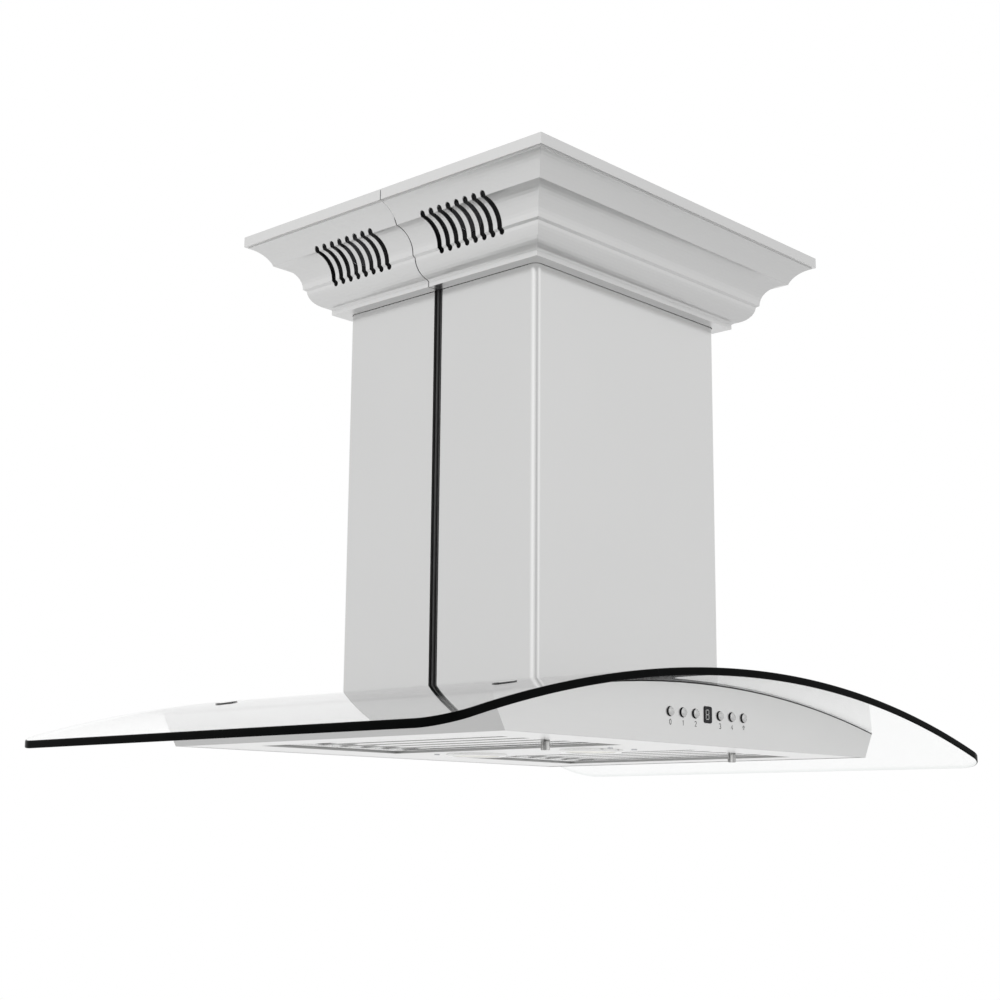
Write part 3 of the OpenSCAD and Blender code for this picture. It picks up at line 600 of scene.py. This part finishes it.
def display_digit():
    """Outlined seven-segment figure behind the smoked window's front."""
    window_low, window_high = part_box("display_window")
    middle_z = (window_low[2] + window_high[2]) / 2
    middle_x = (window_low[0] + window_high[0]) / 2 - FIGURE_SHIFT
    y = window_low[1] - PRINT_LIFT
    half_w, half_h, gap, stroke = 2.4 * MM, 4.6 * MM, 0.35 * MM, 0.8 * MM
    bm = bmesh.new()
    for z in (-half_h, 0, half_h):
        ends = [(middle_x - half_w + gap, middle_z + z), (middle_x + half_w - gap, middle_z + z)]
        ribbon(bm, ends, stroke, y)
    for x in (-half_w, half_w):
        for z in (0, -half_h):
            column = middle_x + x
            ribbon(bm, [(column, middle_z + z + gap), (column, middle_z + z + half_h - gap)], stroke, y)
    return piece("display_figure", bm, ("digit",))


labels()
display_digit()


# ---- stage ----

# Soft boxes and one darker side of the plain studio: azimuth from +X, height, half width (degrees), gain
SOFT_BOXES = ((190, 12, 24, 0.42), (289, 12, 14, 0.38), (247, 12, 12, -0.35))


FLOOR_Z = -1.55


def studio():
    bm = bmesh.new()
    bmesh.ops.create_grid(bm, x_segments=2, y_segments=2, size=40)
    mesh = bpy.data.meshes.new("floor")
    bm.to_mesh(mesh)
    bm.free()
    floor = bpy.data.objects.new("floor", mesh)
    floor.location.z = FLOOR_Z
    bpy.context.scene.collection.objects.link(floor)
    paint = moulded("floor_paint", (0.88, 0.88, 0.88), 0.9, grain=3.0, depth=0.0)
    paint.tint(paint.noise(0.8), 0.004)
    path = paint.tree.nodes.new("ShaderNodeLightPath")
    white = paint.tree.nodes.new("ShaderNodeEmission")
    white.inputs["Color"].default_value = (1, 1, 1, 1)
    choose = paint.tree.nodes.new("ShaderNodeMixShader")
    paint.link(path.outputs["Is Camera Ray"], choose.inputs["Fac"])
    paint.link(paint.shader.outputs["BSDF"], choose.inputs[1])
    paint.link(white.outputs["Emission"], choose.inputs[2])
    side = paint.tree.nodes.new("ShaderNodeNewGeometry")
    clear = paint.tree.nodes.new("ShaderNodeBsdfTransparent")
    one_way = paint.tree.nodes.new("ShaderNodeMixShader")
    paint.link(side.outputs["Backfacing"], one_way.inputs["Fac"])
    paint.link(choose.outputs["Shader"], one_way.inputs[1])
    paint.link(clear.outputs["BSDF"], one_way.inputs[2])
    paint.link(one_way.outputs["Shader"], paint.output.inputs["Surface"])
    mesh.materials.append(paint.material)

    world = bpy.data.worlds.new("studio")
    bpy.context.scene.world = world
    world.use_nodes = True
    tree = world.node_tree
    tree.nodes.clear()
    out = tree.nodes.new("ShaderNodeOutputWorld")
    back = tree.nodes.new("ShaderNodeBackground")
    tree.links.new(back.outputs[0], out.inputs[0])
    back.inputs["Color"].default_value = (1, 1, 1, 1)
    way = tree.nodes.new("ShaderNodeTexCoord").outputs["Generated"]

    def math_node(operation, first, second):
        node = tree.nodes.new("ShaderNodeMath")
        node.operation = operation
        for value, socket in ((first, node.inputs[0]), (second, node.inputs[1])):
            if isinstance(value, (int, float)):
                socket.default_value = value
            else:
                tree.links.new(value, socket)
        return node.outputs[0]

    total = None
    for azimuth, rise, width, gain in SOFT_BOXES:
        a, e = math.radians(azimuth), math.radians(rise)
        dot = tree.nodes.new("ShaderNodeVectorMath")
        dot.operation = "DOT_PRODUCT"
        tree.links.new(way, dot.inputs[0])
        dot.inputs[1].default_value = (math.cos(a) * math.cos(e), math.sin(a) * math.cos(e), math.sin(e))
        sharpness = math.log(0.5) / math.log(math.cos(math.radians(width)))
        lobe = math_node("POWER", math_node("MAXIMUM", dot.outputs["Value"], 0.0), sharpness)
        share = math_node("MULTIPLY", lobe, gain)
        total = share if total is None else math_node("ADD", total, share)
    tree.links.new(math_node("ADD", total, 1.0), back.inputs["Strength"])


studio()

CAMERA_PLACE = Vector((-1.40017, -1.23745, -0.66696))
YAW, PITCH, ROLL = 0.8272527, 0.1960731, 0.00803


def camera():
    ahead = Vector((math.sin(YAW) * math.cos(PITCH), math.cos(YAW) * math.cos(PITCH), math.sin(PITCH)))
    right = ahead.cross(Vector((0, 0, 1))).normalized()
    above = right.cross(ahead)
    side = right * math.cos(ROLL) + above * math.sin(ROLL)
    up = above * math.cos(ROLL) - right * math.sin(ROLL)
    data = bpy.data.cameras.new("camera")
    data.lens = 61.33
    data.sensor_width = 36
    data.clip_start, data.clip_end = 0.05, 100
    cam = bpy.data.objects.new("camera", data)
    cam.matrix_world = Matrix.Translation(CAMERA_PLACE) @ Matrix((side, up, -ahead)).transposed().to_4x4()
    bpy.context.scene.collection.objects.link(cam)
    bpy.context.scene.camera = cam


camera()
bpy.context.scene.view_settings.view_transform = "Standard"
